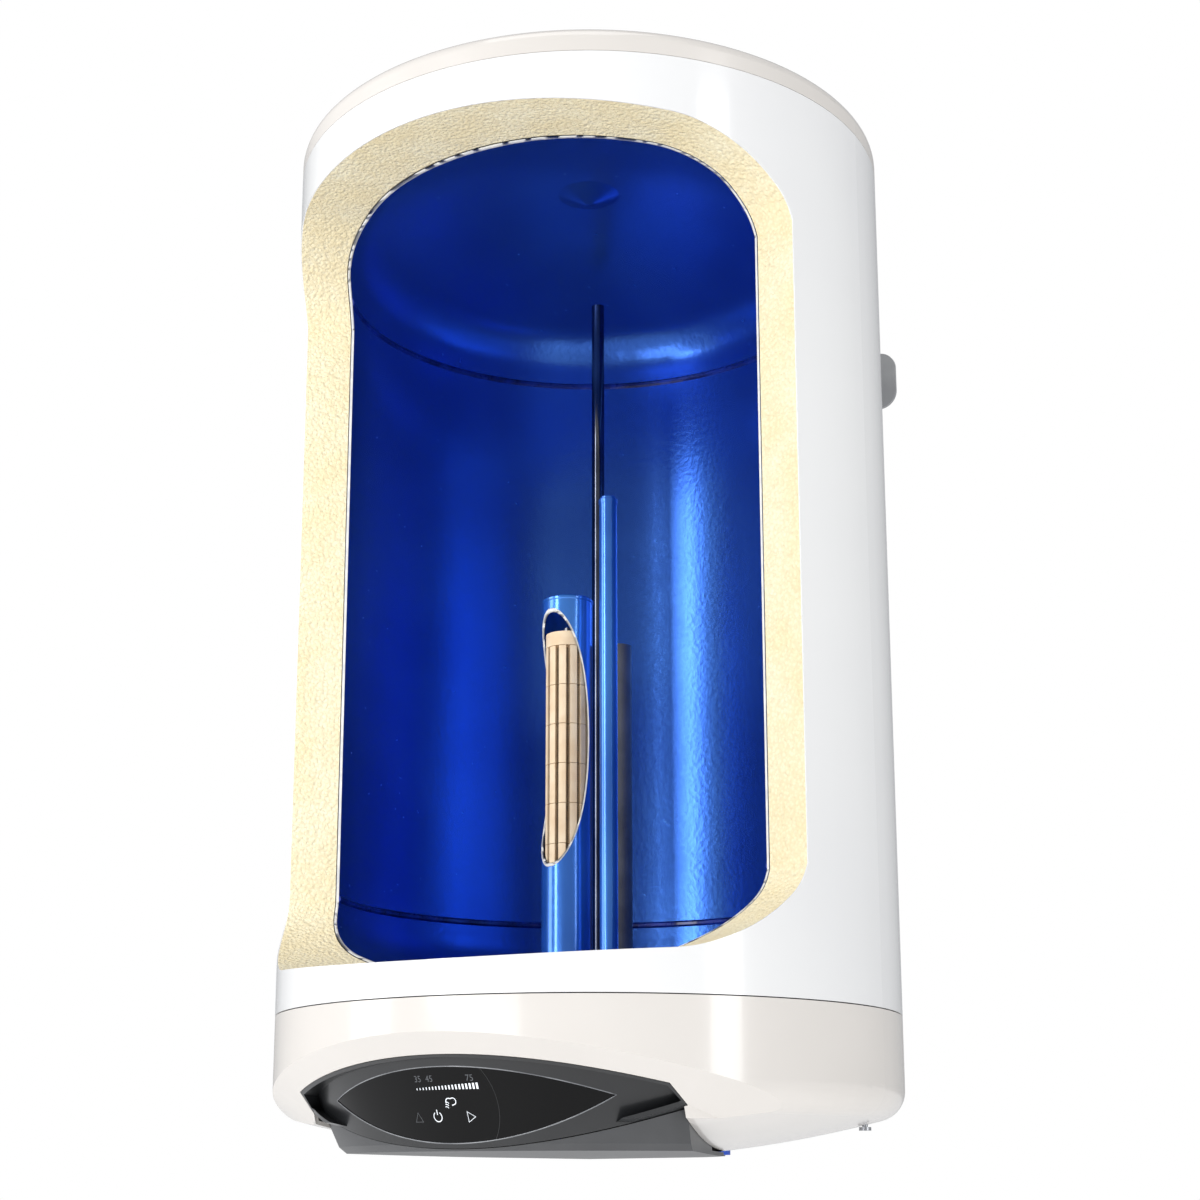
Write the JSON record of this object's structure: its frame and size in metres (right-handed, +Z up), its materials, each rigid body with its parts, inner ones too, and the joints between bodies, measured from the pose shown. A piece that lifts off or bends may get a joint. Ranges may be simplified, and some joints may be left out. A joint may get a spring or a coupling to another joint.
{
  "type": "tank water heater",
  "caption": "Wall-hung electric storage water heater with a window cut through casing, foam and enamelled tank, showing its heater, pipe, pocket and anode.",
  "frame": {"origin": "middle of the two wall bolts, on the wall plane behind the bracket", "axes": "+Z up along the tank, -Y to the front with the display, +Y into the wall, +X to the right as seen from the front"},
  "size_m": [0.47, 0.482, 0.8229],
  "materials": {
    "casing_white": "white stoved enamel, glossy",
    "cover_grey": "warm light grey moulding, glossy",
    "foam": "rigid foam, granular cut face",
    "tank_enamel": "cobalt-blue vitreous enamel with orange peel",
    "rod_enamel": "blue vitreous enamel, smooth",
    "ceramic": "cream steatite, matt",
    "coil_wire": "oxidised resistance wire",
    "steel": "zinc-plated steel",
    "bracket_grey": "grey powder coat, matt",
    "pipe_chrome": "dark bright pipe",
    "magnesium": "extruded magnesium, matt",
    "rubber": "black sealing rubber",
    "panel_dark": "dark grey satin moulding",
    "display_black": "black glass-clear window",
    "service_dark": "dark grey satin moulding",
    "circuit_green": "circuit board",
    "component_black": "moulded components",
    "hot_red": "red ring",
    "cold_blue": "blue ring",
    "wire_brown": "insulated lead"
  },
  "bodies": {
    "heater": {"anode_nut": "steel", "anode_rod": "magnesium", "anode_stud": "steel", "base_plate": "casing_white", "board_parts": "component_black", "bottom_cover": "cover_grey", "cable_gland": "component_black", "cold_inlet_stub": "steel", "cold_ring": "cold_blue", "control_bezel": "panel_dark", "cover_posts": "steel", "cover_screws": "steel", "display_board": "circuit_green", "display_glass": "display_black", "earth_screw": "steel", "flange_gasket": "rubber", "flange_neck": "tank_enamel", "flange_nuts": "steel", "flange_plate": "rod_enamel", "flange_studs": "steel", "heater_core_rod": "steel", "heater_end_ring": "ceramic", "heater_segments": "ceramic", "heater_sleeve": "rod_enamel", "heater_sleeve_cap": "rod_enamel", "heater_terminal_head": "ceramic", "heater_terminal_pins": "steel", "heating_coils": "coil_wire", "hot_outlet_pipe": "pipe_chrome", "hot_outlet_stub": "steel", "hot_ring": "hot_red", "inlet_diffuser": "component_black", "inlet_riser": "pipe_chrome", "insulation_foam": "foam", "internal_wiring": "wire_brown", "lower_spacer": "component_black", "lower_weld_bead": "tank_enamel", "outer_casing": "casing_white", "power_board": "circuit_green", "sensor_pocket": "rod_enamel", "sensor_pocket_cap": "rod_enamel", "service_cover": "service_dark", "tank_bottom_dome": "tank_enamel", "tank_cylinder": "tank_enamel", "tank_top_dome": "tank_enamel", "temperature_sensor": "steel", "terminal_block": "casing_white", "thermal_cutout": "component_black", "top_cap": "cover_grey", "upper_weld_bead": "tank_enamel", "wall_bracket": "bracket_grey"},
    "button": {"reset_button": "hot_red"}
  },
  "joints": [
    {"name": "reset_press", "type": "slide", "parent": "heater", "child": "button", "axis": [0, 0, 1], "range_m": [0, 0.002], "stiffness_N_per_m": 300, "springref_m": -0.001}
  ]
}
